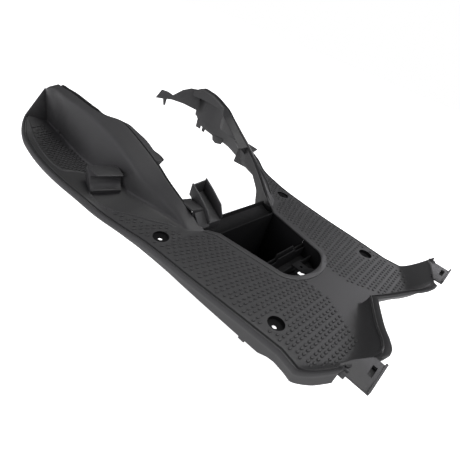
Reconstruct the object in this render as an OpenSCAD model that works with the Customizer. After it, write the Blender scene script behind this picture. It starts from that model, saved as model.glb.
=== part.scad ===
// Scooter floorboard: one thin injection moulding in charcoal plastic.
// A flat tread deck with a rounded rim carries a battery well in its middle, a lip and two
// horns that sweep up at the front, and two hollow side arms that rise over the rear footwells.
// Origin: middle of the rear pair of screw holes, in the plane of the screw seats.
// X forward, Y left, Z up. The shapes are drawn from the tread and set down on the seats at last.

/* [Moulding] */
// Thickness of every wall
wall = 2.5; // [2:0.1:3.2]
// Half width of the tread at the rear screws
mid_half = 171; // [166:1:178]
// Half width of the tread at the front screws
front_half = 156; // [150:1:162]
// Half width of the tread at the rear footwells
rear_half = 205; // [198:1:214]
// Fall of the tread from its middle to its outer edge
crown = 4; // [2:0.5:6]
// How far the rounded rim stands out past the tread
rim = 8; // [6:0.5:10]
// Depth of the skirt below the tread edge
skirt = 15; // [13:1:20]

/* [Screws] */
// Distance between the rear pair of screw holes
rear_spacing = 300; // [280:1:304]
// Distance between the front pair of screw holes
front_spacing = 264; // [240:1:272]
// Distance from the rear pair to the front pair
screw_pitch = 190; // [176:1:200]
// Width of the round recess for the screw head
recess_d = 22; // [18:0.5:24]
// Depth of the recess below the tread
recess_depth = 6; // [4:0.5:9]
// Clearance hole for the screw
screw_d = 6.5; // [5:0.1:7.5]

/* [Battery well] */
// Rear end of the well
well_rear_x = 36; // [32:1:42]
// Length of the battery space
well_length = 74; // [68:1:80]
// Half width of the opening at its rear end
well_rear_half = 69; // [64:1:72]
// Half width of the opening at the divider
well_front_half = 56; // [50:1:60]
// Depth of the battery space below the tread
well_depth = 108; // [80:1:130]
// Length of the rounded bay in front of the battery
bay_length = 54; // [46:1:60]
// Depth of the bay walls
bay_depth = 30; // [20:1:50]
// Width of the raised band around the opening
band = 9; // [6:0.5:11]
// Height of the raised band
band_height = 1.2; // [0.8:0.1:2]

/* [Side arms] */
// Height of the arms above the tread
arm_height = 96; // [84:1:108]
// Half distance between the front tips of the arms
tip_half = 86; // [83:1:90]
// Half distance between the arms at their top rear
arm_half = 146; // [140:1:152]
// Width of the sloping facet along the top of the arms
facet = 26; // [20:1:30]
// Rear end of the arms, behind the rear screws
tail = 284; // [276:1:292]
// Reach of the rear brackets behind the arms
bracket = 71; // [60:1:80]
// Width of the seat ledge on the inner side of the arms
ledge = 18; // [12:1:22]
// Rise of the footwell floor
heel_rise = 18; // [12:1:24]
// Further rise of the rim at the rear end
heel_kick = 30; // [22:1:36]
// Radius of the peg cup in the footwell
cup_r = 10.5; // [9:0.5:12]
// Width of the peg cup
cup_width = 43; // [36:1:45]

/* [Front end] */
// Front edge of the deck on the centre line
nose_x = 253; // [247:1:262]
// Front edge of the horns
horn_x = 304; // [300:1:312]
// Height of the front lip on the centre line
lip_height = 26; // [20:1:32]
// Height of the horn ends
horn_height = 42; // [34:1:48]
// Width of the step along the front lip
step = 8; // [5:0.5:10]

/* [Cable channel] */
// Width of the cable channel behind the well
channel_width = 27; // [22:1:32]
// Length of the cable channel
channel_length = 48; // [40:1:56]
// Height of the channel walls
channel_side = 20; // [14:1:24]

/* [Hidden] */
plastic = [0.20, 0.20, 0.21];
bite = 0.6; // how far joined walls run into each other
well_front_x = well_rear_x + well_length;
bay_front_x = well_front_x + bay_length;
bay_round_x = bay_front_x - 30; // where the straight sides of the opening end
straight_end = 215; // last straight station of the deck

function mix(a, b, t) = a + (b - a) * t;
function clamp(t) = min(1, max(0, t));
function unit(v) = v / norm(v);

// Smooth curve through a few points [x, value], where a value is a number or a list
function seg(x, p, i = 0) = i >= len(p) - 2 || x < p[i + 1][0] ? i : seg(x, p, i + 1);
function slope(p, i) =
    let (a = max(i - 1, 0), b = min(i + 1, len(p) - 1))
    (p[b][1] - p[a][1]) / (p[b][0] - p[a][0]);
function curve(x, p) =
    let (i = seg(x, p), h = p[i + 1][0] - p[i][0], t = (x - p[i][0]) / h)
    p[i][1] * (1 + 2 * t) * (1 - t) ^ 2 + p[i + 1][1] * t ^ 2 * (3 - 2 * t)
    + slope(p, i) * h * t * (1 - t) ^ 2 - slope(p, i + 1) * h * t ^ 2 * (1 - t);

// Tread edge along the rim: [half width, height]
function flare(t) = mix(mid_half, rear_half, t);
function heel(t) = heel_rise + t * heel_kick;
tread_edge = [
    [-tail, [flare(0.66), heel(1)]], [-274, [flare(0.88), heel(0.8)]],
    [-262, [flare(1.05), heel(0.5)]], [-244, [flare(1.16), heel(0.27)]],
    [-203, [flare(1.19), heel(0)]], [-154, [flare(1.14), heel(-0.1)]],
    [-115, [flare(0.9), heel(-0.3)]], [-83, [flare(0.57), -1]],
    [-38, [flare(0.24), -crown]], [0, [mid_half, -crown]],
    [85, [mix(mid_half, front_half, 0.5), 0.2 - crown]],
    [155, [front_half + 2.4, 2.3 - crown]], [straight_end, [front_half - 2, 3.5 - crown]]];

// Inner top edge of the arms: [half width, height]
function spread(t) = mix(tip_half, arm_half, t);
top_edge = [
    [-tail, [spread(1.12), 0.95 * arm_height]], [-266, [spread(1.2), 1.06 * arm_height]],
    [-254, [spread(1.2), 1.065 * arm_height]], [-231, [spread(1.153), 1.065 * arm_height]],
    [-210, [spread(1.093), 1.036 * arm_height]], [-194, [spread(1.025), 1.007 * arm_height]],
    [-174, [spread(0.908), 0.98 * arm_height]], [-151, [spread(0.65), 0.965 * arm_height]],
    [-121, [spread(0.51), 0.833 * arm_height]], [-81, [spread(0.4), 0.635 * arm_height]],
    [-56, [spread(0.35), 0.485 * arm_height]], [-36, [spread(0.275), 0.36 * arm_height]],
    [0, [spread(0.1), 0.12 * arm_height]], [18, [spread(0.04), 0.01 * arm_height]]];

// Crease between the sloping facet and the steep side, measured from the top edge
crease_step = [
    [-tail, [0.64 * facet, -2.5]], [-266, [0.64 * facet, -5]], [-254, [0.46 * facet, -4.2]],
    [-231, [0.5 * facet, -6.6]], [-210, [0.42 * facet, -7]], [-194, [0.38 * facet, -8]],
    [-174, [0.44 * facet, -11.3]], [-153, [0.76 * facet, -16.7]], [-126, [0.87 * facet, -17]],
    [-106, [0.92 * facet, -17]], [-83, [0.94 * facet, -18]], [-51, [0.58 * facet, -16]],
    [-30, [0.53 * facet, -12.5]], [-10, [0.58 * facet, -8.5]], [7, [0.63 * facet, -6]],
    [18, [0.12 * facet, -1]]];

// Foot of the steep side: [half width, height]
foot_edge = [
    [-tail, [spread(1.35), heel_rise + 20]], [-255, [spread(1.2), heel_rise + 8]],
    [-218, [spread(1.2), heel_rise + 3]], [-166, [spread(1.2), heel_rise]],
    [-100, [spread(0.91), 0.55 * heel_rise]], [-53, [spread(0.68), 0.36 * heel_rise]],
    [-23, [spread(0.5), 0.12 * heel_rise]], [0, [spread(0.4), 0]], [7, [spread(0.37), 0]],
    [18, [spread(0.12), 0]]];

// Inner edge of the seat ledge, measured from the top edge
ledge_step = [
    [-tail, [-5, -6]], [-194, [-5, -6]], [-184, [-0.6 * ledge, -6.5]],
    [-166, [-1.08 * ledge, -7.5]], [-142, [-ledge, -8]], [-121, [-1.08 * ledge, -6]],
    [-104, [-1.08 * ledge, -7]], [-86, [-1.2 * ledge, -7]]];
// Free lower edge of the inner wall: [inset from the top edge, height]
inner_foot = [
    [-tail, [5.5, 0.86 * arm_height - 4]], [-200, [5.5, 0.86 * arm_height]],
    [-184, [0.6 * ledge + 0.5, 0.8 * arm_height]], [-166, [1.1 * ledge, 0.66 * arm_height]],
    [-142, [1.03 * ledge, 0.66 * arm_height]], [-122, [1.1 * ledge, 0.66 * arm_height]],
    [-104, [1.1 * ledge, 0.655 * arm_height]], [-86, [1.22 * ledge, 0.57 * arm_height]]];
// Lower edge of the flange under the front of the arms
front_foot = [[-85, 0.5 * arm_height], [-78, 0.33 * arm_height], [-52, 0.23 * arm_height],
    [-28, 0.02 * arm_height], [-20, -20], [18, -14]];

// Half width of the opening
function opening(s) =
    s < well_rear_x ? mix(tip_half, well_rear_half, clamp((s - 15) / (well_rear_x - 15)))
    : s < bay_round_x ? mix(well_rear_half, well_front_half,
        (s - well_rear_x) / (well_front_x - well_rear_x))
    : s < bay_front_x ? opening(bay_round_x - 0.01)
        * sqrt(1 - ((s - bay_round_x) / (bay_front_x - bay_round_x)) ^ 2)
    : 0;

// Front edge of the deck and its height, across the half width
horn_root = horn_x - 30;
front_line = [
    [0, nose_x], [26, nose_x + 14], [53, nose_x + 28], [77, mix(nose_x, horn_x, 0.83)],
    [98, horn_x - 4], [113, horn_x - 11], [136, horn_x - 21], [159, horn_root]];
front_height = [
    [0, lip_height], [26, lip_height + 2], [53, lip_height + 5.5], [77, horn_height - 6],
    [98, horn_height - 2.5], [113, horn_height - 8], [136, horn_height - 5],
    [159, horn_height + 2]];

// Rise of the deck at a distance d behind the front edge: it falls to a line on the lip, then
// runs out in a hollow curve
lip_fall = 4.4;
function front_rise(y, d) =
    let (horn = clamp((y - 98) / 15), reach = mix(step, 0, horn),
         run = mix(20, 38, clamp(y / 159)), top = curve(min(y, 159), front_height),
         line = top - mix(lip_fall, 0, horn), t = clamp((run + reach - d) / run))
    d < reach - 0.5 ? mix(top, line, d / (reach - 0.5))
    : line * t ^ mix(1.8, 1.1, clamp(y / 159));

deck_count = 12; // points across a section, from the free inner edge to the tread edge

// Rim in section: past the tread edge, a rounded bead and the skirt, which is
// deepest beside the front screws
function skirt_at(x) = skirt * lookup(x, [[-284, 0.8], [-230, 0.65], [-150, 0.52], [-60, 0.62],
    [0, 1], [50, 1.1], [106, 1.38], [158, 1.62], [195, 1.75], [206, 1.45], [232, 1.35],
    [250, 1.5], [262, 1.7]]);
function rim_points(x, y, z) = [
    [x, y + 0.45 * rim, z - 0.4],
    [x, y + 0.88 * rim, z - 2.4], [x, y + rim, z - 6.5], [x, y + 0.62 * rim, z - skirt_at(x)]];

// Section through an arm and its footwell
function arm_section(s) =
    let (t = curve(s, top_edge), c = t + curve(s, crease_step), f = curve(s, foot_edge),
         e = curve(s, tread_edge), dip = [0, -4] * clamp((-s - 60) / 60) * clamp((270 + s) / 40),
         in = s > -85 ? t + [-4, -1.5] : t + curve(s, ledge_step),
         low = s > -85 ? [t[0] - 4, lookup(s, front_foot)]
             : let (l = curve(s, inner_foot)) [t[0] - l[0], l[1]],
         yz = [low, in, t, mix(t, c, 0.5), c,
               mix(c, f, 0.5), f, mix(f, e, 0.2) + 0.6 * dip, mix(f, e, 0.4) + dip,
               mix(f, e, 0.6) + dip, mix(f, e, 0.8) + 0.6 * dip, e])
    concat([for (p = yz) [s, p[0], p[1]]], rim_points(s, e[0], e[1]));

// Upright wall that closes the footwell at the rear end
module tail_wall() {
    g = arm_section(-tail);
    c = g[4];
    f = g[6];
    e = g[deck_count - 1];
    translate([-tail - bite, 0, 0]) rotate([90, 0, 90]) linear_extrude(wall)
        polygon([[c[1] - 5, c[2] - 1], [c[1], c[2]], [e[1] + 1, e[2]], [e[1], e[2] - 3],
            [f[1] + 8, f[2] - 2], [f[1] - 2, f[2] - 2]]);
}

// Section through the deck beside the opening and up to the screws
function deck_section(s) =
    let (e = curve(s, tread_edge), a = opening(s), n = deck_count - 1)
    concat([for (j = [0:n]) let (y = mix(a, e[0], j / n), u = clamp((y - 90) / (e[0] - 90)))
            [s, y, e[1] * u ^ 2]],
        rim_points(s, e[0], e[1]));

// Section that follows the curved front edge at a distance d behind it
function nose_section(w, d) =
    let (n = deck_count - 1, e = curve(straight_end, tread_edge),
         edge = mix(e[0], 159, w))
    let (row = [for (j = [0:n])
            let (y = edge * j / n, x = mix(straight_end, curve(min(y, 159), front_line) - d, w),
                 u = clamp((y - 90) / (edge - 90)))
            [x, y, e[1] * u ^ 2 * (1 - w) + front_rise(y, w < 1 ? 99 : d)]])
    concat(row, rim_points(row[n][0], row[n][1], row[n][2]));

// Offset of the visible face to the back of the wall
function grid_normal(g, i, j) =
    let (a = g[max(i - 1, 0)][j], b = g[min(i + 1, len(g) - 1)][j],
         c = g[i][max(j - 1, 0)], d = g[i][min(j + 1, len(g[i]) - 1)])
    unit(cross(d - c, b - a));
function corner(g, i, j) =
    j == 0 || j == len(g[i]) - 1 ? 1
    : let (u = unit(g[i][j] - g[i][j - 1]), v = unit(g[i][j + 1] - g[i][j]))
      1 / max(0.6, sqrt(max(0, (1 + u * v) / 2)));
function back(g, t) = [for (i = [0:len(g) - 1]) [for (j = [0:len(g[i]) - 1])
    let (p = g[i][j], q = p + t * corner(g, i, j) * grid_normal(g, i, j))
    [q[0], p[1] == 0 ? 0 : q[1], q[2]]]];

// Closed shell between a grid of points and its back
module shell(g, t) {
    rows = len(g);
    n = len(g[0]);
    b = back(g, t);
    ring = 2 * n;
    points = [for (i = [0:rows - 1]) each concat(g[i], [for (j = [n - 1:-1:0]) b[i][j]])];
    sides = [for (i = [0:rows - 2]) for (j = [0:ring - 1])
        let (k = (j + 1) % ring, p = i * ring, q = p + ring)
        each [[p + j, q + k, q + j], [p + j, p + k, q + k]]];
    ends = [for (r = [0, rows - 1]) for (j = [0:n - 2])
        let (o = r * ring, p = [o + j, o + j + 1, o + ring - 2 - j, o + ring - 1 - j])
        each r == 0 ? [[p[0], p[2], p[1]], [p[0], p[3], p[2]]]
                    : [[p[0], p[1], p[2]], [p[0], p[2], p[3]]]];
    polyhedron(points, concat(sides, ends), convexity = 10);
}

arm_stations = [-tail, -274, -262, -248, -231, -216, -200, -184, -166, -151, -136, -121, -104,
    -86, -84, -68, -53, -38, -23, -8, 5, 17.5];
deck_stations = [20, well_rear_x, 72, well_front_x, bay_round_x,
    for (a = [24, 46, 64, 78]) mix(bay_round_x, bay_front_x, sin(a)), bay_front_x,
    mix(bay_front_x, straight_end, 0.5), straight_end];
nose_stations = [[0.5, 34], [1, 32], [1, 27], [1, 23], [1, 19], [1, 16], [1, 13], [1, 10.5],
    [1, step + 0.3], [1, step - 0.9], [1, 0]];

module half_skin() {
    shell(concat([for (s = arm_stations) arm_section(s)],
                 [for (s = deck_stations) deck_section(s)],
                 [for (w = nose_stations) nose_section(w[0], w[1])]), wall);
}

// Deck, arms and footwells, with the round screw recesses and the hollows let into them
screw_spots = [[0, rear_spacing / 2], [screw_pitch, front_spacing / 2]];
seat_lap = 0.8; // how far the recess walls stop below the deck's face
function deck_level(x, y) =
    let (e = curve(min(x, straight_end), tread_edge)) e[1] * clamp((y - 90) / (e[0] - 90)) ^ 2;
module skin_with_recesses() {
    difference() {
        union() {
            half_skin();
            peg_cup();
            for (p = screw_spots) translate([p[0], p[1], -recess_depth - wall])
                cylinder(d = recess_d + 2 * wall, $fn = 48,
                    h = recess_depth + wall + deck_level(p[0], p[1]) - seat_lap);
        }
        peg_cup_hollow();
        for (p = screw_spots) translate([p[0], p[1], 0]) {
            translate([0, 0, -recess_depth]) cylinder(d = recess_d, h = 30, $fn = 48);
            translate([0, 0, -recess_depth - 10]) cylinder(d = screw_d, h = 40, $fn = 32);
        }
    }
}

// Outline of the opening in plan, grown outwards by g, from the beam to the rounded front
function half_outline(x, g) = concat([[x, opening(x) + g]],
    [for (s = [well_rear_x, well_front_x]) if (s > x) [s, opening(s) + g]],
    [for (a = [0:10:90]) [bay_round_x + (bay_front_x - bay_round_x + g) * sin(a),
        (opening(bay_round_x - 0.01) + g) * cos(a)]]);
function outline(x, g) = let (h = half_outline(x, g), n = len(h) - 1)
    concat(h, [for (i = [n - 1:-1:0]) [h[i][0], -h[i][1]]]);
module ring(x, from, to, low, high) {
    translate([0, 0, low]) linear_extrude(high - low) difference() {
        polygon(outline(x, to));
        polygon(outline(x - 1, from));
    }
}

// Box that takes the battery, open at the top
module well_box(g, low, high) {
    translate([0, 0, low]) linear_extrude(high - low)
        polygon([for (p = [[0, 1], [1, 1], [1, -1], [0, -1]])
            [p[0] == 0 ? well_rear_x - g : well_front_x + g,
             p[1] * ((p[0] == 0 ? well_rear_half : well_front_half) + g)]]);
}
divider_drop = 8; // how far the wall between battery and bay stops below the tread
hump = 22; // half width of the raised middle of that wall
module battery_well() {
    difference() {
        well_box(wall - bite, -well_depth, -bite);
        well_box(-bite, wall - well_depth, 1);
        for (k = [-1, 1]) translate([well_front_x - wall, k > 0 ? hump : -hump - 60, -divider_drop])
            cube([2 * wall + 2, 60, 20]);
    }
}

// Rounded bay in front of the battery, open below, with the tab for the cover screw
tab_z = -8;
tab_half = 9.5;
tab_x = bay_round_x + 10.5;
rib_x = well_front_x + 23;
module bay() {
    ring(well_front_x - bite, -bite, wall - bite, -bay_depth, -bite);
    translate([well_front_x + 5, -well_front_half, -bay_depth])
        cube([2, 2 * well_front_half, bay_depth - divider_drop - 2]);
    translate([rib_x, -0.86 * well_front_half, -bay_depth])
        cube([wall, 1.72 * well_front_half, bay_depth - 10]);
    difference() {
        rotate([90, 0, 0]) linear_extrude(2 * tab_half, center = true)
            polygon([[rib_x + bite, tab_z], [tab_x + 7, tab_z], [bay_front_x + bite, -1],
                [bay_front_x + bite, -4], [tab_x + 7, tab_z - wall],
                [rib_x + bite, tab_z - wall]]);
        translate([tab_x, 0, tab_z - 9]) cylinder(d = 5, h = 18, $fn = 32);
    }
    difference() {
        translate([0, 0, -bay_depth]) linear_extrude(wall) polygon(outline(well_front_x, 0));
        translate([tab_x - 5, 9, -bay_depth - 1]) cube([10, 12, 2 * wall]);
    }
}

// Trough between the front tips of the arms, behind the battery
module beam() {
    x = well_rear_x;
    rotate([90, 0, 0]) linear_extrude(2 * tip_half - 4, center = true)
        polygon([[0, 0], [wall, 0], [wall + 1.5, -5], [0.3 * x, -8.5], [0.5 * x, -10],
            [0.7 * x, -9], [x - 4, -5], [x - 2.5, -0.6], [x, -0.6], [x, -7],
            [0.7 * x, -11.5], [0.5 * x, -12.5], [0.3 * x, -11.5], [wall, -8], [wall, -14],
            [0, -14]]);
}

// Sloping channel for the cables, on one side only
channel_y = -58.5;
module channel() {
    x = [for (t = [0, 1]) 12 - t * channel_length];
    z = [4, 4 + channel_length / 2];
    for (k = [-1, 1]) translate([0, channel_y + k * channel_width / 2, 0])
        rotate([90, 0, 0]) linear_extrude(wall, center = true)
        polygon([[x[0], z[0] - wall], [x[0] + 2, z[0] + 0.25 * channel_side],
            [x[0] - 7, z[0] + channel_side * (1 + 0.12 * k)], [x[0] - 30, 0.76 * z[1] + 17 + 2 * k],
            [x[1], z[1] + channel_side * (0.96 + 0.1 * k)], [x[1] - 1, z[1] - wall]]);
    translate([x[1] - 1, channel_y, z[1] - wall]) rotate([90, 0, 90]) linear_extrude(wall)
        polygon([[-channel_width / 2, 0], [-channel_width / 2, 0.82 * channel_side],
            [channel_width / 2, channel_side], [channel_width / 2, 0]]);
    translate([0, channel_y, 0]) rotate([90, 0, 0])
        linear_extrude(channel_width + 1, center = true)
        polygon([[x[0] + 1, z[0] - wall - 12], [x[0] + 1, z[0]], [x[1] - 1, z[1]],
            [x[1] - 1, z[1] - wall], [x[0] - 3, z[0] - wall], [x[0] - 3, z[0] - wall - 12]]);
    // Web that ties the channel to the arm beside it
    edge = channel_y - channel_width / 2 + 1;
    translate([-22, 0, 0]) rotate([90, 0, 90]) linear_extrude(20)
        polygon([[edge, 18], [edge, 21], [-spread(0.18), 25], [-spread(0.18), 22]]);
    translate([-4, 0, 0]) rotate([90, 0, 90]) linear_extrude(wall)
        polygon([[edge, -4], [edge, 20], [-spread(0.17), 24], [-spread(0.03), -4]]);
}

// Block in the footwell with a round cup in its front, which takes the folding foot peg
cup_wall = 2.5;
cup_turn = 17; // its outer end lies further back
module on_cup() {
    translate([-99, 148, heel_rise + 7]) rotate([90, 0, cup_turn]) mirror([0, 0, 1]) children();
}
module peg_cup() {
    on_cup() linear_extrude(cup_width) difference() {
        polygon([[-28, cup_r], [-26, cup_r + 1.5], [0.5, cup_r + 1.5], [2, cup_r + 0.5],
            [2, -cup_r - 2], [0.5, -cup_r - 3], [-0.5, -cup_r - 11.5], [-30, -cup_r - 10]]);
        translate([3.5, 0]) circle(r = cup_r, $fn = 48);
    }
}
// The block is hollow from below
module peg_cup_hollow() {
    on_cup() translate([0, 0, cup_wall]) linear_extrude(cup_width - 2 * cup_wall) difference() {
        polygon([[-25.5, cup_r - 1.5], [-3, cup_r - 1.5], [-3, -cup_r - 20],
            [-26, -cup_r - 20]]);
        translate([3.5, 0]) circle(r = cup_r + cup_wall, $fn = 48);
    }
}

// Plates at the front of the horns, folded down on the outside, where the front cover is fixed
module horn_plate() {
    x = horn_x - 27;
    z = horn_height;
    difference() {
        intersection() {
            translate([x - 10, 0, 0]) rotate([90, 0, 90]) linear_extrude(60)
                polygon([[105, z - 8], [120, z - 3], [144, z - 0.5], [163, z - 4],
                    [163, z - 4 - wall], [144, z - 0.5 - wall], [120, z - 3 - wall],
                    [105, z - 8 - wall]]);
            linear_extrude(200)
                polygon([[x + 14, 114], [horn_x, 115], [horn_x, 165], [x + 1, 167], [x - 7, 157]]);
        }
        translate([x + 15, 130, 0]) cube([4, 16, 99]);
    }
    translate([horn_x - wall, 0, 0]) rotate([90, 0, 90]) linear_extrude(wall)
        polygon([[115, z - 6], [115, z - 1], [165, z], [162, z - 5], [144, z - 3]]);
    translate([x - 7, 158, z - 14]) cube([10, wall, 13]);
}

// Bracket that reaches back from the rear end of each arm
module rear_bracket() {
    u = bracket / 71;
    translate([-tail - 1, spread(1.07), 0]) rotate([90, 0, -147.7])
        linear_extrude(wall, center = true)
        polygon([[-14, 90], [-4, 93], [10, 91], [27 * u, 82], [46 * u, 64.5], [58 * u, 68],
            [72 * u, 68], [83 * u, 47], [66 * u, 50], [63 * u, 37], [59 * u, 38],
            [58 * u, 52], [46 * u, 54.5], [20 * u, 54.5], [-14, 50]]);
}

// Small hooks along the foot of the arms, tabs under their front tips and clips under the deck
module hooks() {
    foot = [for (x = [-262, -244, -198]) curve(x, foot_edge)];
    translate([-268, foot[0][0] - wall, heel_rise - 2]) cube([13, wall + 2, 18]);
    translate([-247, foot[1][0] - 2, heel_rise - 3]) cube([7, wall + 2, 10]);
    translate([-212, foot[2][0] - wall, heel_rise - 7]) rotate([0, -8, 0])
        cube([30, wall + 1, 12]);
    // The clip laps the inside of the skirt and hangs below it
    translate([166, curve(170, tread_edge)[0] + 0.62 * rim - wall - 1.6, -skirt_at(170) - 6])
        cube([9, wall, 16]);
}

module both_sides() {
    children();
    mirror([0, 1, 0]) children();
}

// The origin lies in the seats of the rear screws, which are sunk below the tread
module floorboard() {
    color(plastic) translate([0, 0, recess_depth]) union() {
        both_sides() {
            skin_with_recesses();
            horn_plate();
            rear_bracket();
            tail_wall();
            hooks();
        }
        ring(20, -bite, band, -1.2, band_height);
        battery_well();
        bay();
        beam();
        channel();
    }
}

floorboard();
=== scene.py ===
import math
import bpy
import bmesh
import numpy as np
from mathutils import Matrix, Vector
from mathutils.bvhtree import BVHTree


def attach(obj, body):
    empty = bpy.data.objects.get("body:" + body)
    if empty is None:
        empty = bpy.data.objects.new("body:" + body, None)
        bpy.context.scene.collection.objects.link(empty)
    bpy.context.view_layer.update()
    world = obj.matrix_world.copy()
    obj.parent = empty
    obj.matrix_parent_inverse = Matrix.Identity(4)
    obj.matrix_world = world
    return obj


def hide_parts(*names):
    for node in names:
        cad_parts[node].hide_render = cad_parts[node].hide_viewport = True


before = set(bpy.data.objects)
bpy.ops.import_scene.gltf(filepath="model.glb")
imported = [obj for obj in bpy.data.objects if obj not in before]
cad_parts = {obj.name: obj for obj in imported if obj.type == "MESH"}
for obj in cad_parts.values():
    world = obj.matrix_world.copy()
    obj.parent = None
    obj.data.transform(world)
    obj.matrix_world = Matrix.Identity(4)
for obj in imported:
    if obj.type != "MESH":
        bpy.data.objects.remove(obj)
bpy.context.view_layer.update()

# Deck skin: tread, side arms, footwells and front lip are one wall of charcoal plastic, shot in one
# mould. It is lofted through cross-sections from the rear end to the lip, in mm, and given its wall
# inwards. The part is screwed down through four round recesses.
TAIL, STRAIGHT, NOSE, HORN = -284.0, 215.0, 253.0, 304.0
HORN_HALF, ARM, ARM_FRONT, WALL = 159, 96.0, 18, 2.5
SEAT = .006  # the tread lies this far above the screw seats, in metres
SCREWS = [(0, 150), (190, 132)]
WELL_REAR, WELL_FRONT, ROUND, BAY = 36.0, 110.0, 134.0, 164.0


def spread(t):
    """Distance from the middle at a share t of the arm's width."""
    return 86 + 60 * t


def flare(t):
    """Distance from the middle at a share t of the footwell's width."""
    return 171 + 34 * t


# Outer edge of the tread: x, y, z
TREAD = [[TAIL, flare(.66), 48], [-274, flare(.88), 42], [-262, flare(1.05), 33],
         [-244, flare(1.16), 26.1], [-203, flare(1.19), 18], [-154, flare(1.14), 15],
         [-115, flare(.9), 9], [-83, flare(.57), -1], [-38, flare(.24), -4], [0, 171, -4],
         [85, 163.5, -3.8], [155, 158.4, -1.7], [STRAIGHT, 154, -.5]]
# Top edge of the arm: x, y, z
TOP = [[TAIL, spread(1.12), .95 * ARM], [-266, spread(1.2), 1.06 * ARM],
       [-254, spread(1.2), 1.065 * ARM], [-231, spread(1.153), 1.065 * ARM],
       [-210, spread(1.093), 1.036 * ARM], [-194, spread(1.025), 1.007 * ARM],
       [-174, spread(.908), .98 * ARM], [-151, spread(.65), .965 * ARM],
       [-121, spread(.51), .833 * ARM], [-81, spread(.4), .635 * ARM],
       [-56, spread(.35), .485 * ARM], [-36, spread(.275), .36 * ARM],
       [0, spread(.1), .12 * ARM], [ARM_FRONT, spread(.04), .01 * ARM]]
# Fold between the arm's facet and its steep side, measured from the top edge: x, outwards, up
CREASE = [[TAIL, 16.6, -2.5], [-266, 16.6, -5], [-254, 12, -4.2], [-231, 13, -6.6],
          [-210, 10.9, -7], [-194, 9.9, -8], [-174, 11.4, -11.3], [-153, 19.8, -16.7],
          [-126, 22.6, -17], [-106, 23.9, -17], [-83, 24.4, -18], [-51, 15.1, -16],
          [-30, 13.8, -12.5], [-10, 15.1, -8.5], [7, 16.4, -6],
          [ARM_FRONT, 3.1, -1]]
# Foot of the steep side: x, y, z
FOOT = [[TAIL, spread(1.35), 38], [-255, spread(1.2), 26], [-218, spread(1.2), 21],
        [-166, spread(1.2), 18], [-100, spread(.91), 9.9], [-53, spread(.68), 6.5],
        [-23, spread(.5), 2.2], [0, spread(.4), 0], [7, spread(.37), 0],
        [ARM_FRONT, spread(.12), 0]]
# Inner ledge of the arm, measured from the top edge: x, outwards, up
LEDGE = [[TAIL, -5, -6], [-194, -5, -6], [-184, -10.8, -6.5], [-166, -19.4, -7.5],
         [-142, -18, -8], [-121, -19.4, -6], [-104, -19.4, -7], [-86, -21.6, -7]]
# Lower edge of the arm's inner side: x, outwards from the top edge, z
UNDER = [[TAIL, -5.5, .86 * ARM - 4], [-200, -5.5, .86 * ARM], [-184, -11.3, .8 * ARM],
         [-166, -19.8, .66 * ARM], [-142, -18.5, .66 * ARM], [-122, -19.8, .66 * ARM],
         [-104, -19.8, .68 * ARM], [-86, -22, .61 * ARM]]
# Lower edge of the flange at the front of the arm: x, z
FLANGE = [[-85, .5 * ARM], [-78, .33 * ARM], [-52, .23 * ARM], [-28, .02 * ARM], [-20, -20],
          [ARM_FRONT, -14]]
# Depth of the skirt below the tread's edge: x, depth
SKIRT = [[TAIL, 12], [-230, 9.7], [-150, 7.8], [-60, 9.3], [0, 15], [50, 16.5], [106, 20.7],
         [158, 24.3], [195, 26.2], [206, 21.8], [232, 20.2], [250, 22.5], [262, 25.5]]
# Front edge of the lip and the horns: y, x and y, z
FRONT_X = [[0, NOSE], [26, NOSE + 14], [53, NOSE + 28], [77, 295.3], [98, HORN - 4],
           [113, HORN - 11], [136, HORN - 21], [HORN_HALF, HORN - 30]]
FRONT_Z = [[0, 26], [26, 28], [53, 31.5], [77, 36], [98, 39.5], [113, 34], [136, 37],
           [HORN_HALF, 44]]
# Groove along the top edge of the arm: its three corners from the edge, at the front and the rear.
# It runs out at the front over the first length, and is broad from a station on.
NARROW_GROOVE = ((-3.6, -.9), (-3.1, -3.4), (-1.7, -3.4))
BROAD_GROOVE = ((-6.3, -.6), (-5.7, -4.6), (-1.2, -4.6))
GROOVE_RUN_OUT, BROAD_FROM, BROAD_OVER = 14, -178, 12
# Groove, rounded bead and skirt of the rim, measured from the tread's edge
RIM = [(.5, -.3), (1.0, -2.4), (2.9, -2.5), (3.5, -.7), (5.0, -.1), (7.1, -2.2), (8, -5.6),
       (6.9, -9.5)]
# Corner radius at each corner of a section, and the faces each stretch is cut into
RADII = [0, .8, .3, .3, .3, .9, 5, 4, 12, 16, 16, 12, 0, .3, .4, .4, .5, .8, 1.6, 2, 2, 0]
CUTS = [3, 5, 1, 1, 1, 6, 7, 3, 3, 3, 3, 3, 1, 1, 1, 1, 1, 1, 1, 1, 3]
# Distances behind the front edge of the lip at which a row lies
LIP_ROWS = [34, 31.5, 29, 27, 25, 23, 21.5, 20, 18.5, 17, 15.8, 14.6, 13.4, 12.3, 11.2, 10.2,
            9.4, 8.8, 8.3, 7.7, 7.2, 6.4, 4.8, 3.2, 1.6, .5, 0]


def share(v):
    """The value held between 0 and 1."""
    return min(1.0, max(0.0, v))


def along(x, table):
    """Smooth curve through the rows [x, value, value ...]."""
    t = np.asarray(table, float)
    i = int(np.clip(np.searchsorted(t[:, 0], x, "right") - 1, 0, len(t) - 2))
    before, after = max(i - 1, 0), min(i + 2, len(t) - 1)
    step = t[i + 1, 0] - t[i, 0]
    u = (x - t[i, 0]) / step
    slope_in = (t[i + 1, 1:] - t[before, 1:]) / (t[i + 1, 0] - t[before, 0])
    slope_out = (t[after, 1:] - t[i, 1:]) / (t[after, 0] - t[i, 0])
    return (t[i, 1:] * (1 + 2 * u) * (1 - u) ** 2 + t[i + 1, 1:] * u * u * (3 - 2 * u)
            + slope_in * step * u * (1 - u) ** 2 - slope_out * step * u * u * (1 - u))


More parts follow.
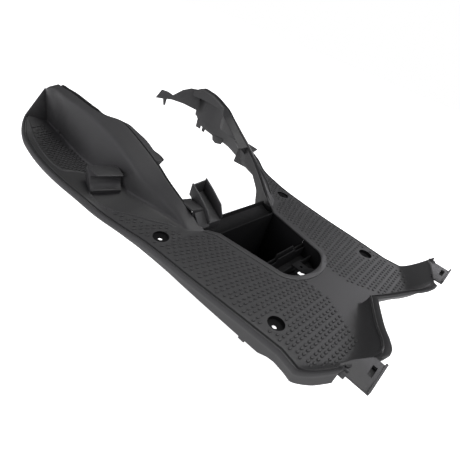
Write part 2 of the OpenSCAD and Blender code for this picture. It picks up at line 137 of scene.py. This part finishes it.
def linear(x, table):
    """Straight lines through the rows [x, value]."""
    return float(np.interp(x, [r[0] for r in table], [r[1] for r in table]))


def opening(x):
    """Half width of the opening in the deck."""
    if x < WELL_REAR:
        return 86 - 17 * max(0, (x - 15) / (WELL_REAR - 15))
    if x < ROUND:
        return 69 - 13 * (x - WELL_REAR) / (WELL_FRONT - WELL_REAR)
    return (69 - 13 * 98 / 74) * math.sqrt(max(0, 1 - ((x - ROUND) / (BAY - ROUND)) ** 2))


def section(corners):
    """Points along a line of corners, with each corner rounded."""
    c = np.asarray(corners, float)
    length = np.linalg.norm(np.diff(c, axis=0), axis=1)
    start, end = [c[0]], [c[0]]
    for k in range(1, len(c) - 1):
        back, ahead = min(RADII[k], .45 * length[k - 1]), min(RADII[k], .45 * length[k])
        start.append(c[k] + (c[k - 1] - c[k]) * back / max(length[k - 1], 1e-9))
        end.append(c[k] + (c[k + 1] - c[k]) * ahead / max(length[k], 1e-9))
    start.append(c[-1])
    points = [c[0]]
    for k in range(len(c) - 1):
        if k > 0 and RADII[k] > 0:
            for u in (.33, .67, 1):
                points.append(start[k] * (1 - u) ** 2 + c[k] * 2 * u * (1 - u) + end[k] * u * u)
        for u in np.linspace(0, 1, CUTS[k] + 1)[1:]:
            points.append(end[k] * (1 - u) + start[k + 1] * u)
    return points


def rim_corners(x, y, z, depth):
    """Corners of the rim from the tread's edge out and down to the foot of the skirt."""
    return [[x, y + out, z + up] for out, up in RIM + [(5, -max(depth, 10.5))]]


def across(inner, outer):
    """Places of the corners of a flat section, from the opening towards the tread's edge."""
    wide = outer - inner
    ys = [inner + a for a in (0, .001, .4, .6, .8, 1, .06 * wide, .1 * wide)]
    return ys + [ys[-1] + (outer - ys[-1]) * q for q in (.2, .4, .6, .8)]


def lip_height(y, behind):
    """Height of the deck at a distance behind its front edge."""
    horn, out = share((y - 96) / 14), min(y, HORN_HALF) / HORN_HALF
    top, run = along(min(y, HORN_HALF), FRONT_Z)[0], 8 + 26 * out
    ridge = top - 4.4 * (1 - horn)
    hollow = ridge * share((run + 8 * (1 - horn) - behind) / run) ** (2.1 - .7 * out)
    step = np.interp(behind, [0, 1.6, 6.4, 7.2, 7.7, 8.3, 8.8], [0, -.6, -5.6, -5.6, -3.2, -3.1, -4.4])
    return hollow if behind > 8.8 else top + step * (1 - horn) + horn * (hollow - top)


def sheet(bm, rows, side=1):
    """A grid laid on rows of points in mm, or on their mirror image where the side is -1."""
    place = np.array(rows) / 1000 * [1, side, 1]
    last, first_face = [n - 1 for n in place.shape[:2]], len(bm.faces)
    for v in bmesh.ops.create_grid(bm, x_segments=last[0], y_segments=last[1], size=1)["verts"]:
        v.co = place[round((v.co.x + 1) / 2 * last[0]), round((v.co.y + 1) / 2 * last[1])]
    bm.faces.ensure_lookup_table()
    if side < 0:
        bmesh.ops.reverse_faces(bm, faces=bm.faces[first_face:])


def cast(bm, name):
    """Makes an object of the shape in hand."""
    mesh = bpy.data.meshes.new(name)
    bm.to_mesh(mesh)
    bm.free()
    obj = bpy.data.objects.new(name, mesh)
    bpy.context.scene.collection.objects.link(obj)
    return obj


def carve(obj, tool, operation="DIFFERENCE"):
    """Cuts a piece with a tool."""
    cut = obj.modifiers.new("cut", "BOOLEAN")
    cut.operation, cut.object, cut.solver, cut.use_self = operation, tool, "EXACT", True


def settle(obj, angle, *tools):
    """Applies the modifiers, puts the tools away, and keeps edges sharper than the angle crisp."""
    shape = obj.evaluated_get(bpy.context.evaluated_depsgraph_get())
    done = bpy.data.meshes.new_from_object(shape)
    obj.modifiers.clear()
    obj.data = done
    bm = bmesh.new()
    bm.from_mesh(done)
    for face in bm.faces:
        face.smooth = True
    for edge in bm.edges:
        edge.smooth = edge.is_manifold and edge.calc_face_angle(0) < math.radians(angle)
    bm.to_mesh(done)
    bm.free()
    for tool in tools:
        bpy.data.objects.remove(tool)


class Shade:
    """A value in a material: operators on it add Math nodes, and node() adds any other node."""

    def __init__(self, tree, socket=None):
        self.tree, self.socket = tree, socket

    def node(self, kind, output, settings, values):
        made = self.tree.nodes.new("ShaderNode" + kind)
        for key, value in settings.items():
            setattr(made, key, value)
        Shade(self.tree).feed(made, values)
        return Shade(self.tree, made.outputs[output])

    def feed(self, node, values):
        for key, value in values.items():
            if isinstance(value, Shade):
                self.tree.links.new(value.socket, node.inputs[key])
            else:
                node.inputs[key].default_value = value

    def _maths(self, operation, a, b):
        return self.node("Math", 0, {"operation": operation}, {0: a, 1: b})

    def __add__(self, other):
        return self._maths("ADD", self, other)

    def __sub__(self, other):
        return self._maths("SUBTRACT", self, other)

    def __rsub__(self, other):
        return self._maths("SUBTRACT", other, self)

    def __mul__(self, other):
        return self._maths("MULTIPLY", self, other)

    __radd__, __rmul__ = __add__, __mul__


def plastic(name, dark, light, grain, rough, gloss):
    """Matt moulded plastic with fine leather-like grain and faint flow clouds."""
    mat = bpy.data.materials.new(name)
    mat.use_nodes = True
    shade = Shade(mat.node_tree)
    where = shade.node("TexCoord", "Object", {}, {})
    clouds = shade.node("TexNoise", "Fac", {}, {"Vector": where, "Scale": 14, "Detail": 3})
    fine = shade.node("TexNoise", "Fac", {},
                      {"Vector": where, "Scale": 1100, "Detail": 2, "Distortion": .4})
    leather = shade.node("TexVoronoi", "Distance", {}, {"Vector": where, "Scale": 1500})
    colour = shade.node("Mix", "Result", {"data_type": "RGBA"},
                        {"Factor": clouds * .55 + fine * .45 - .05, "A": (*dark, 1), "B": (*light, 1)})
    relief = shade.node("Bump", "Normal", {},
                        {"Strength": grain, "Distance": .0002, "Height": fine * .6 + leather * .7})
    shade.feed(mat.node_tree.nodes["Principled BSDF"],
               {"Base Color": colour, "Roughness": fine * .12 + clouds * .08 + rough,
                "Normal": relief, "Specular IOR Level": gloss})
    return mat


def dress(obj, material):
    """Sets a piece down from the tread onto the screw seats and gives it its plastic."""
    obj.data.transform(Matrix.Translation((0, 0, SEAT)))
    obj.data.materials.clear()
    obj.data.materials.append(material)


rows = []
for x in np.concatenate([np.linspace(TAIL, -87, 56), np.linspace(-84, ARM_FRONT, 42)]):
    top, edge = along(x, TOP), along(x, TREAD)
    crease, foot = top + along(x, CREASE), along(x, FOOT)
    if x > 0:
        crease[0] = min(crease[0], foot[0] - .3)
    if x > FLANGE[0][0]:
        inner, low = top + [-4, -1.5], np.array([top[0] - 4, linear(x, FLANGE)])
    else:
        inner, under = top + along(x, LEDGE), along(x, UNDER)
        low = np.array([top[0] + under[0], under[1]])
    fade = share((GROOVE_RUN_OUT - x) / GROOVE_RUN_OUT)
    broad = share((BROAD_FROM - x) / BROAD_OVER)
    inner = inner * (1 - broad) + (top + [-7.6, -1.4]) * broad
    low = np.array([low[0] * (1 - broad) + (top[0] - 8) * broad, low[1]])
    groove = []
    for k, (at_front, at_rear) in enumerate(zip(NARROW_GROOVE, BROAD_GROOVE)):
        slip = np.array([-.3 + .1 * k, 0])
        groove.append(top + slip + (at_front - slip) * fade * (1 - broad) + np.array(at_rear) * broad)
    dip = np.array([0, -4]) * share((-x - 60) / 60) * share((270 + x) / 40)
    floor = [foot + (edge - foot) * q + dip * w for q, w in ((.2, .6), (.4, 1), (.6, 1), (.8, .6))]
    corners = [[x, *p] for p in [low, inner] + groove + [top, crease, foot] + floor + [edge]]
    rows.append(section(corners + rim_corners(x, *edge, linear(x, SKIRT))))
for x in np.concatenate([np.linspace(21, ROUND - 3, 32),
                         ROUND + (BAY - ROUND) * np.sin(np.linspace(0, math.pi / 2, 15)),
                         np.linspace(BAY + 3, STRAIGHT, 15)]):
    edge, gap = along(x, TREAD), opening(x)
    ys = across(gap, edge[0])
    zs = [edge[1] * share((y - 90) / (edge[0] - 90)) ** 2 for y in ys]
    zs[0], zs[1] = zs[0] - 1.5, zs[1] - .5
    if gap < .5:
        ys[0] = ys[1] = zs[0] = zs[1] = 0
    corners = [[x, y, z] for y, z in zip(ys, zs)] + [[x, *edge]]
    rows.append(section(corners + rim_corners(x, *edge, linear(x, SKIRT))))
half, level = along(STRAIGHT, TREAD)
for w, behind in [(w, LIP_ROWS[0]) for w in (.2, .4, .6, .8)] + [(1, d) for d in LIP_ROWS]:
    edge, row = half * (1 - w) + HORN_HALF * w, []
    flat = [[0, y, 0] for y in across(0, edge) + [edge]]
    for _, out, up in section(flat + rim_corners(0, edge, 0, 30)):
        y = min(out, edge)
        x = STRAIGHT * (1 - w) + w * (along(min(y, HORN_HALF), FRONT_X)[0] - behind)
        z = level * (max(0, y - 90) / (edge - 90)) ** 2 * (1 - w) + (w == 1) * lip_height(y, behind)
        if out > edge or up != 0:
            z += up if up > -10.4 else -10.4 - (linear(x, SKIRT) - 10.4) * (-10.4 - up) / 19.6
        row.append([x, out, z])
    rows.append(row)
bm = bmesh.new()
for side in (1, -1):
    sheet(bm, rows, side)
bmesh.ops.remove_doubles(bm, verts=bm.verts, dist=2e-6)
bmesh.ops.dissolve_degenerate(bm, dist=1e-6, edges=bm.edges)
surface = BVHTree.FromBMesh(bm)
deck = cast(bm, "deck_skin")
wall = deck.modifiers.new("wall", "SOLIDIFY")
wall.thickness, wall.offset = WALL / 1000, -1
bm = bmesh.new()
for x, y in SCREWS:
    for side in (1, -1):
        bmesh.ops.create_cone(bm, cap_ends=True, segments=64, radius1=.011, radius2=.011, depth=.04,
                              matrix=Matrix.Translation((x / 1000, side * y / 1000, 0)))
cutter = cast(bm, "cutter")
carve(deck, cutter)
settle(deck, 32, cutter)
charcoal = plastic("charcoal_plastic", (.026, .026, .0265), (.044, .044, .0445), .35, .42, .42)
dress(deck, charcoal)
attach(deck, "root")
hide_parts("floorboard")

# Raised band round the opening: a flat ring with rounded edges, moulded with the deck. It stiffens
# the edge of the opening and is the rest for the battery cover.
X, Y, Z = (1, 0, 0), (0, 1, 0), (0, 0, 1)


def draw_out(bm, face, move, grow=1):
    """Draws a face out and gives the new end face and its points."""
    drawn = bmesh.ops.extrude_face_region(bm, geom=[face])["geom"]
    points = [g for g in drawn if isinstance(g, bmesh.types.BMVert)]
    bmesh.ops.scale(bm, verts=points, vec=(grow, grow, 1))
    bmesh.ops.translate(bm, verts=points, vec=move)
    return next(g for g in drawn if isinstance(g, bmesh.types.BMFace)), points


def prism(bm, origin, u, v, outline, depth, both=False):
    """Draws an outline on the axes u and v out along their normal, in mm; on both sides if asked."""
    u, v = Vector(u), Vector(v)
    for side in ((1, -1) if both else (1,)):
        ring = [bm.verts.new((Vector(origin) + u * a + v * b) / 1000) for a, b in outline]
        _, ends = draw_out(bm, bm.faces.new(ring), u.cross(v) * depth / 1000)
        bmesh.ops.scale(bm, verts=ring + ends, vec=(1, side, 1))


def finish(bm, name, bevel=.5, angle=35):
    """Makes the piece, with its edges broken by the bevel in mm."""
    bmesh.ops.recalc_face_normals(bm, faces=bm.faces)
    obj = cast(bm, name)
    if bevel:
        edge = obj.modifiers.new("edge", "BEVEL")
        edge.width, edge.segments = bevel / 1000, 2
        edge.limit_method, edge.angle_limit = "ANGLE", math.radians(40)
    settle(obj, angle)
    return obj


def opening_plan(x, grown):
    """Outline of the opening, grown all round, from a station x to the rounded front."""
    pts = [[s, opening(s) + grown] for s in [x] + [s for s in (WELL_REAR, WELL_FRONT) if s > x]]
    pts += [[ROUND + (BAY - ROUND + grown) * math.sin(a), (opening(ROUND) + grown) * math.cos(a)]
            for a in np.linspace(0, math.pi / 2, 25)]
    return pts + [[p[0], -p[1]] for p in pts[-2::-1]]


bm = bmesh.new()
prism(bm, (0, 0, -1.2), X, Y, opening_plan(20, 9) + opening_plan(20, -.3)[::-1], 2.4)
band = finish(bm, "opening_band", .9)
dress(band, charcoal)
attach(band, "root")

# Battery well: four plain walls and a floor of the same plastic, with a notched wall towards the bay.
# It is drawn down from the deck, and light hardly reaches its smooth inside.
# Its plastic is a darker copy of the charcoal, which is painted shade.
WELL_DEEP = 108
# Darker copy of the charcoal plastic, which is painted shade: the well, the cover bay, the beam and the
# screw cups are the same plastic as the deck.
painted_shade_plastic = plastic("charcoal_plastic_painted_shade", (.0055, .0056, .0058), (.010, .010, .0104), .15, .5, .08)
bm = bmesh.new()
for side in (1, -1):
    prism(bm, (0, 0, -WELL_DEEP), X, Y, [[WELL_REAR, side * 69], [WELL_FRONT, side * 56],
                                         [WELL_FRONT, side * 58.2], [WELL_REAR, side * 71.2]], 107.2)
prism(bm, (33.9, 0, -WELL_DEEP), Y, Z, [[-71, 0], [71, 0], [71, 107], [-71, 107]], 2.2)
prism(bm, (109.9, 0, -WELL_DEEP), Y, Z,
      [[-58, 0], [58, 0], [58, 100], [24, 100], [22, 107.4], [-22, 107.4], [-24, 100], [-58, 100]], 2.2)
prism(bm, (0, 0, -WELL_DEEP), X, Y, [[35, -70.5], [111, -57.5], [111, 57.5], [35, 70.5]], 2.5)
well = finish(bm, "battery_well")
dress(well, painted_shade_plastic)
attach(well, "root")

# Cover bay: the rounded front of the opening, with a wall, a floor with its drain hole, two ribs,
# and the tab that takes the screw of the battery cover.
BAY_DEEP = 30
bm = bmesh.new()
prism(bm, (0, 0, -BAY_DEEP), X, Y, opening_plan(110.6, 1.9) + opening_plan(110.6, -.3)[::-1], 29.4)
prism(bm, (115, 0, -BAY_DEEP), Y, Z, [[-56, 0], [56, 0], [56, 19.5], [26, 19.5], [24, 25],
                                      [-24, 25], [-26, 19.5], [-56, 19.5]], 2)
prism(bm, (133, 0, -BAY_DEEP), Y, Z, [[-48, 0], [48, 0], [48, 17], [17, 17], [16, 21], [10, 21],
                                      [9, 19.5], [-48, 19.5]], 2.4)
prism(bm, (0, 0, -BAY_DEEP), X, Y, opening_plan(112, 0), 2.4)
prism(bm, (0, -9.5, 0), Z, X, [[-8, 133], [-8, 152], [-1, 164.5], [-4, 164.5], [-10.5, 152],
                               [-10.5, 133]], 19)
bay = finish(bm, "cover_bay")
bm = bmesh.new()
bmesh.ops.create_cone(bm, cap_ends=True, segments=40, radius1=.0025, radius2=.0025, depth=.02,
                      matrix=Matrix.Translation((.1445, 0, -.009)))
bmesh.ops.create_cube(bm, size=1, matrix=Matrix.Translation((.1445, .015, -.029))
                      @ Matrix.Diagonal((.010, .012, .012, 1)))
drill = cast(bm, "drill")
carve(bay, drill)
settle(bay, 35, drill)
# The bay takes the darker copy of the plastic, which is painted shade.
dress(bay, painted_shade_plastic)
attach(bay, "root")

# Beam between the arm tips: a shallow trough with an upright rear edge, moulded across the rear of
# the opening to tie the two arms, and closed by a small cap at each end.
bm = bmesh.new()
prism(bm, (0, 84, 0), X, Z,
      [[0, 0], [2.5, 0], [4, -5], [10.8, -8.5], [18, -10], [25.2, -9], [32, -5], [33.5, -.6], [36, -.6],
       [36, -7], [25.2, -11.5], [18, -12.5], [10.8, -11.5], [2.5, -8], [2.5, -14], [0, -14]], 168)
prism(bm, (0, 82, 0), X, Z, [[1, -13], [35, -11], [35, -1.6], [1, -1.6]], 2, both=True)
beam = finish(bm, "beam")
# The beam takes the darker copy of the plastic, which is painted shade.
dress(beam, painted_shade_plastic)
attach(beam, "root")

# Cable channel on the rider's right: an open box of thin walls that leads the cables up beside the
# battery, with the plates that tie it to the arm and to the deck.
CHANNEL_MIDDLE, CHANNEL_HALF = -58.5, 13.5
bm = bmesh.new()
for k in (-1, 1):
    prism(bm, (0, CHANNEL_MIDDLE + k * CHANNEL_HALF + WALL / 2, 0), X, Z,
          [[12, 1.5], [14, 9], [5, 24 + 2.4 * k], [-18, 38.3 + 2 * k], [-36, 47.2 + 2 * k],
           [-37, 25.5]], WALL)
prism(bm, (-37, CHANNEL_MIDDLE, 25.5), Y, Z,
      [[-CHANNEL_HALF, 0], [-CHANNEL_HALF, 16.4], [CHANNEL_HALF, 20], [CHANNEL_HALF, 0]], WALL)
prism(bm, (0, -44.5, 0), X, Z,
      [[13, -10.5], [13, 4], [-37, 28], [-37, 25.5], [9, 1.5], [9, -10.5]], 28)
prism(bm, (-32, 0, 0), Y, Z, [[-71, 18], [-71, 21], [-97, 25], [-97, 22]], 30)
prism(bm, (0, -70.5, 0), X, Z, [[-3, 20.5], [15, .5], [15, -3], [-3, 17]], 21)
prism(bm, (-4, 0, 0), Y, Z, [[-71, -4], [-71, 20], [-96, 24], [-88, -4]], WALL)
channel = finish(bm, "cable_channel")
dress(channel, charcoal)
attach(channel, "root")

# Peg cups in the footwells: a hollow block with a round cup in its front face, moulded onto the arm
# to take the folded foot peg. A bead runs under the cup, and the outer corner stands out as a nub.
turn = math.radians(17)
ALONG_CUP = (math.cos(turn), math.sin(turn), 0)
bm = bmesh.new()
cup = [[3.5 + 10.5 * math.cos(a), 10.5 * math.sin(a)]
       for a in np.linspace(math.radians(100), math.radians(260), 25)]
profile = ([[-28, 10.5], [-26, 12], [.5, 12], [1.7, 11.4]] + cup
           + [[1.7, -12.8], [.5, -13.5], [-.5, -22], [-30, -20.5]])
prism(bm, (-99 - 43 * math.sin(turn), 148 + 43 * math.cos(turn), 25), ALONG_CUP, Z, profile, 43,
      both=True)
for v in bm.verts:
    if abs(v.co.y) > .182 and v.co.z > .033:
        v.co += Vector((.0015, -.007 if v.co.y > 0 else .007, -.0005))
bead = [[1.6 + 1.5 * math.cos(a), -11.6 + 1.5 * math.sin(a)]
        for a in np.linspace(0, 2 * math.pi, 13)[:12]]
prism(bm, (-99 - 42 * math.sin(turn), 148 + 42 * math.cos(turn), 25), ALONG_CUP, Z, bead, 41,
      both=True)
cups = finish(bm, "peg_cups", .8)
dress(cups, charcoal)
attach(cups, "root")

# Horn plates: the folded outer part of each horn, a thin plate with the slot that hooks into the
# front panel. It is cut to its plan and slotted.
bm = bmesh.new()
prism(bm, (270, 0, 0), Y, Z, [[112, 36.5], [120, 39], [144, 41.5], [163, 38], [163, 35.5],
                              [144, 39], [120, 36.5], [112, 34]], 34, both=True)
plates = finish(bm, "horn_plates", 0)
bm = bmesh.new()
prism(bm, (0, 0, 20), X, Y, [[291, 114], [304, 115], [304, 165], [278, 167], [270, 157]], 40, both=True)
keep = finish(bm, "keep", 0)
bm = bmesh.new()
prism(bm, (0, 0, 20), X, Y, [[293, 129], [298, 129], [298, 147], [293, 147]], 40, both=True)
slot = finish(bm, "slot", 0)
carve(plates, keep, "INTERSECT")
carve(plates, slot)
settle(plates, 35, keep, slot)
dress(plates, charcoal)
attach(plates, "root")

# Walls of the horns: the upright edge at the front, the side wall at the rear and the floor of the
# slot's pocket, all thin walls of the same moulding.
bm = bmesh.new()
prism(bm, (301.5, 0, 0), Y, Z, [[115, 36], [115, 41], [165, 42], [162, 37], [144, 39]], WALL, both=True)
prism(bm, (270, 158, 28), X, Z, [[0, 0], [10, 0], [10, 13], [0, 13]], -WALL, both=True)
prism(bm, (286, 0, 0), Y, Z, [[122, 33], [122, 35], [160, 35], [160, 33]], 16, both=True)
walls = finish(bm, "horn_walls", .3)
dress(walls, charcoal)
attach(walls, "root")

# Rear brackets: the thin arms that reach back to the body panels, the walls that close the
# footwells, and the small hooks and clips under the edges.
back = math.radians(-147.7)
ALONG_BRACKET, NORMAL = (math.cos(back), math.sin(back), 0), (math.sin(back), -math.cos(back), 0)
HOOKS = ((-268, 157.5, 16, 13, 18), (-247, 156, 15, 7, 10), (166, 158.4, -30.5, 9, 16))
bm = bmesh.new()
prism(bm, (TAIL - 1 - NORMAL[0] * WALL / 2, 150 - NORMAL[1] * WALL / 2, 0), ALONG_BRACKET, Z,
      [[-14, 90], [-4, 93], [10, 91], [27, 82], [46, 64.5], [58, 68], [72, 68], [83, 47], [66, 50],
       [63, 37], [59, 38], [58, 52], [46, 54.5], [20, 54.5], [-14, 50]], WALL, both=True)
fold = along(TAIL, TOP) + along(TAIL, CREASE)
foot, edge = along(TAIL, FOOT), along(TAIL, TREAD)
prism(bm, (TAIL - .6, 0, 0), Y, Z,
      [[fold[0] - 5, fold[1] - 1], [*fold], [edge[0] + 6, edge[1] - .4], [edge[0] + 6, edge[1] - 4],
       [foot[0] + 8, foot[1] - 2], [foot[0] - 2, foot[1] - 2]], WALL, both=True)
for x, y, z, length, height in HOOKS:
    prism(bm, (x, y, z), X, Z, [[0, 0], [length, 0], [length, height], [0, height]], -3, both=True)
prism(bm, (-212, 155.5, 11), X, Z, [[2, 0], [12, -3], [26, 1], [31, 10], [29, 15], [-2, 11]], -3.5,
      both=True)
brackets = finish(bm, "rear_brackets", .4)
dress(brackets, charcoal)
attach(brackets, "root")

# Screw cups: the four round recesses that take the heads of the body screws, each with a chamfered
# through hole in its seat. They are turned, and their rims follow the slope of the deck.
bm = bmesh.new()
for x, y in SCREWS:
    level, lean = (-2.2, -.073) if x == 0 else (-.4, -.02)
    turned = [(3.25, -8.5), (3.25, -6.5), (3.75, -6), (10.1, -6), (10.8, -5.3),
              (10.8, level - .25), (13, level - 1.2), (13, -8.5)]
    for side in (1, -1):
        middle, done = Vector((x, side * y, 0)) / 1000, len(bm.verts)
        ring = [bm.verts.new(middle + Vector((r, 0, z)) / 1000) for r, z in turned]
        edges = [bm.edges.new(pair) for pair in zip(ring, ring[1:] + ring[:1])]
        bmesh.ops.spin(bm, geom=ring + edges, cent=middle, axis=Z, angle=2 * math.pi, steps=64,
                       use_merge=True)
        bm.verts.ensure_lookup_table()
        for v in bm.verts[done:]:
            if v.co.z > -.005:
                v.co.z += side * lean * (v.co.y - middle.y)
cup_rings = finish(bm, "screw_cups", 0, 30)
# The screw cups take the darker copy of the plastic, which is painted shade in their recesses.
dress(cup_rings, painted_shade_plastic)
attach(cup_rings, "root")

# Tread pips: low oval studs in pairs of rows, moulded onto the tread and the heel fields for grip.
# One stud is drawn up in steps, and copies of it are set down square to the surface.
LEDGE_LINE = [[-118, 187], [-105, 189], [-77, 179], [-56, 162], [-34, 145], [-18, 129], [-5, 118]]
HEEL_LINE = [[-276, 198], [-255.5, 200.5], [-235.7, 202.3], [-211.4, 203.5], [-185.8, 202.8],
             [-172, 199.5], [-168.3, 197], [-163.4, 184.6], [-156.9, 172.7]]
# Steps of a stud, as shares of its width and height, and how deep it is sunk
STUD = ((1.0, 0), (.93, .55), (.74, .9), (.35, 1))
SUNK = .15
# Half length, half width and height of a stud
TREAD_STUD, HEEL_STUD = (3.1, 2.05, 1.5), (3.7, 1.6, 1.8)
# From one pair of rows to the next, between the rows of a pair, and from stud to stud in a row
PAIR_PITCH, ROW_GAP, STUD_PITCH = 14, 6, 8.0
HEEL_ROW_GAP, HEEL_STUD_PITCH = 4.1, 8.4
SCREW_CLEAR, OUTERMOST = 14.5, 214
stud = bmesh.new()
end = stud.faces.new([stud.verts.new((math.cos(a), math.sin(a), 0))
                      for a in np.linspace(0, 2 * math.pi, 11)[:10]])
for (wide, low), (narrow, high) in zip(STUD, STUD[1:]):
    end, _ = draw_out(stud, end, (0, 0, high - low), narrow / wide)
bmesh.ops.recalc_face_normals(stud, faces=stud.faces)
stud_mesh = bpy.data.meshes.new("stud")
stud.to_mesh(stud_mesh)
stud.free()
bm = bmesh.new()


def pip(x, y, spin, length, width, height):
    """Sets a stud on the surface below the place, unless that is steep or on the arm's top."""
    hit, normal, _, _ = surface.ray_cast(Vector((x / 1000, y / 1000, .2)), Vector((0, 0, -1)))
    if hit is None or normal.z < .55 or hit.z > .045:
        return
    ahead = Vector((math.cos(spin), math.sin(spin), 0))
    ahead = (ahead - normal * ahead.dot(normal)).normalized()
    turned = Matrix((ahead * length, normal.cross(ahead) * width, normal * (height + SUNK)))
    place = Matrix.Translation(hit - normal * SUNK / 1000) @ (turned.transposed() * .001).to_4x4()
    one = stud_mesh.copy()
    one.transform(place)
    bm.from_mesh(one)
    bpy.data.meshes.remove(one)


for side in (1, -1):
    for row in range(-10, 36):
        row_x = PAIR_PITCH * (row // 2) + ROW_GAP * (row % 2) + 20
        slant = min(.5, max(.04, .09 + (170 - row_x) * .0023))
        for y in np.arange(24 + STUD_PITCH / 2 * (row % 2), OUTERMOST, STUD_PITCH):
            x = row_x - slant * (y - 115)
            if x > 20:
                nearest = opening(x) + 15
                if x >= ROUND:
                    nearest = max(nearest, 31 + 20 * max(0, (x - STRAIGHT) / 35))
                if y < nearest or y > along(min(x, STRAIGHT), TREAD)[0] - 5:
                    continue
                if x > 222 and x > along(min(y, HORN_HALF), FRONT_X)[0] - 24:
                    continue
            elif x < -100 or y < max(linear(x, LEDGE_LINE) + 5, 112) or y > along(x, TREAD)[0] - 5:
                continue
            if all(math.hypot(x - a, y - b) >= SCREW_CLEAR for a, b in SCREWS):
                pip(x, side * y, side * (math.pi / 2 + slant), *TREAD_STUD)
    for row in range(36):
        for y in np.arange(160 + HEEL_STUD_PITCH / 2 * (row % 2), OUTERMOST, HEEL_STUD_PITCH):
            x = -140 - HEEL_ROW_GAP * row + .2 * (y - 175)
            if TAIL + 12 < x < -150 and along(x, FOOT)[0] + 5 < y < linear(x, HEEL_LINE) - 4:
                pip(x, side * y, side * (math.pi / 2 - .1), *HEEL_STUD)
bpy.data.meshes.remove(stud_mesh)
pips = cast(bm, "tread_pips")
settle(pips, 60)
dress(pips, charcoal)
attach(pips, "root")

# Ledge ridges: low ribs that bound the smooth ledge in front of each peg cup and the heel field.
# Each is a closed strip laid along its line on the surface, running out flat at both ends.
RIB = ((-2.6, -.5), (-1.2, 1.4), (0, 2), (1, 1.5), (1.8, -.5), (-2.6, -.5))
STATIONS = 60
bm = bmesh.new()
for line in (LEDGE_LINE, HEEL_LINE):
    steps = [[i, *point] for i, point in enumerate(line)]
    path = [Vector((*along(u, steps), 0)) for u in np.linspace(0, len(line) - 1, STATIONS)]
    rows = []
    for k, point in enumerate(path):
        heading = path[min(k + 1, STATIONS - 1)] - path[max(k - 1, 0)]
        outwards = heading.normalized().cross(Vector(Z))
        taper = 1
        for from_end in (k, STATIONS - 1 - k):
            taper *= math.sin(math.pi * min(1, from_end / 8 + .05) / 2)
        row = []
        for out, up in RIB:
            foot = point - outwards * out
            hit, _, _, _ = surface.ray_cast(Vector((foot.x, foot.y, 150)) / 1000, Vector((0, 0, -1)))
            row.append([foot.x, foot.y, (0 if hit is None else hit.z * 1000) + up * taper])
        rows.append(row)
    for side in (1, -1):
        sheet(bm, rows, side)
bmesh.ops.remove_doubles(bm, verts=bm.verts, dist=1e-6)
bmesh.ops.holes_fill(bm, edges=bm.edges, sides=5)
ridges = finish(bm, "ledge_ridges", 0, 60)
dress(ridges, charcoal)
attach(ridges, "root")

# Studio: a pale floor under the part, a white background and soft lamps, the strongest overhead.
# The camera sees floor and background white, and the part is lit by a weaker grey.
bm = bmesh.new()
bmesh.ops.create_grid(bm, x_segments=1, y_segments=1, size=4)
ground = cast(bm, "ground")
ground.location = (0, 0, SEAT - .1085)
pale = bpy.data.materials.new("pale_floor")
pale.use_nodes = True
shade = Shade(pale.node_tree)
seen = shade.node("LightPath", "Is Camera Ray", {}, {})
glow = shade.node("Mix", "Result", {"data_type": "RGBA"},
                  {"Factor": seen, "A": (.5, .5, .5, 1), "B": (1, 1, 1, 1)})
shade.feed(pale.node_tree.nodes["Principled BSDF"],
           {"Base Color": (.9, .9, .9, 1), "Roughness": .9, "Specular IOR Level": .1,
            "Emission Strength": 1.0, "Emission Color": glow})
ground.data.materials.append(pale)
world = bpy.data.worlds.new("studio")
bpy.context.scene.world = world
world.use_nodes = True
shade = Shade(world.node_tree)
seen = shade.node("LightPath", "Is Camera Ray", {}, {})
tint = shade.node("Mix", "Result", {"data_type": "RGBA"},
                  {"Factor": seen, "A": (.14, .14, .15, 1), "B": (1, 1, 1, 1)})
shade.feed(world.node_tree.nodes["Background"], {"Color": tint, "Strength": 1.0})
for name, place, aim, size, power, colour in (
        ("key", (.15, .2, 1.7), (0, 0, 0), .8, 15, (1, 1, .98)),
        ("front", (1.0, -.1, 1.1), (0, 0, 0), .7, 6.5, (.97, .95, 1)),
        ("fill", (-.2, -1.8, .6), (0, 0, 0), 1.2, 9, (.97, .95, 1)),
        ("side", (-1.3, -1.2, .5), (-.2, -.1, 0), 1.0, 4, (.97, .95, 1)),
        ("far", (.4, 1.7, 1.0), (0, 0, 0), 1.0, 11, (.97, .95, 1))):
    light = bpy.data.lights.new(name, "AREA")
    light.size, light.energy, light.color = size, power, colour
    lamp = bpy.data.objects.new(name, light)
    lamp.location = place
    lamp.rotation_euler = (Vector(aim) - Vector(place)).to_track_quat("-Z", "Y").to_euler()
    bpy.context.scene.collection.objects.link(lamp)
bpy.context.scene.view_settings.view_transform = "Standard"

# Camera at the photograph's place and angle, found from the symmetry of the part
camera = bpy.data.objects.new("camera", bpy.data.cameras.new("camera"))
right, down = Vector((.706, .650, .281)), Vector((.551, -.255, -.794))
ahead = Vector((-.445, .716, -.539))
facing = Matrix((right, -down, -ahead)).transposed().to_4x4()
camera.matrix_world = Matrix.Translation((.2812, -.4415, .2971 + SEAT)) @ facing
camera.data.sensor_width, camera.data.lens, camera.data.clip_start = 36, 28.783, .01
bpy.context.scene.collection.objects.link(camera)
bpy.context.scene.camera = camera
